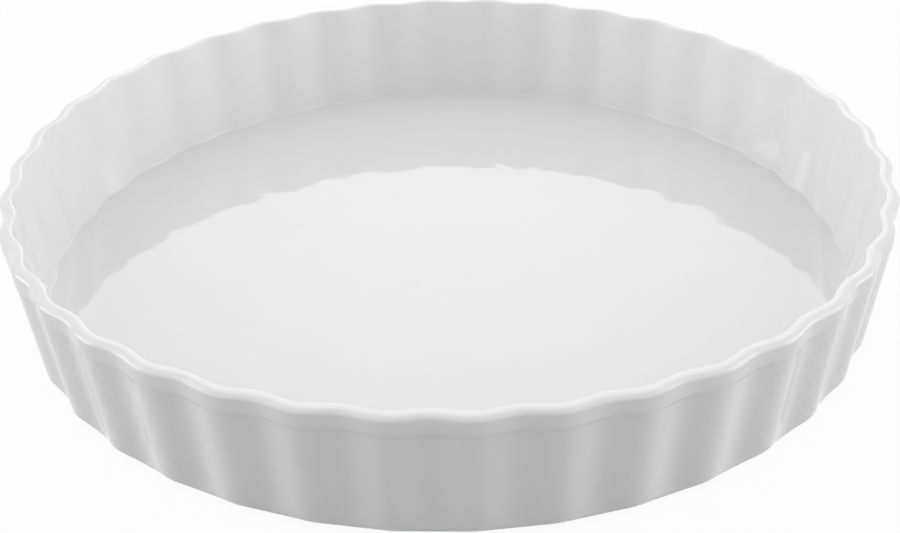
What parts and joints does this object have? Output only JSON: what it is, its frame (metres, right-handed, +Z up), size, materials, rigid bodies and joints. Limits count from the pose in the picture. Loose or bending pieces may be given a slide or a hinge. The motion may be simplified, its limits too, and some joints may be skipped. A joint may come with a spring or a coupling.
{
  "type": "fluted quiche dish",
  "caption": "Round white porcelain quiche dish with a leaning fluted wall, collared rounded lip, flat glossy floor and bare foot ring, for baking and serving tarts.",
  "frame": {"origin": "on the dish's axis, in the plane that it stands on", "axes": "+Z up along the axis, +X through a flute crest"},
  "size_m": [0.3, 0.299, 0.046],
  "materials": {
    "bare_foot": "bare fired porcelain, fine and matt",
    "biscuit": "fired porcelain body under the glaze",
    "glaze": "glossy white porcelain glaze"
  },
  "bodies": {
    "root": {"foot_ring": "bare_foot", "floor_slab": "biscuit", "fluted_wall": "biscuit", "rim_collar": "biscuit", "wall_glaze": "glaze", "floor_glaze": "glaze", "recess_glaze": "glaze"}
  },
  "joints": []
}
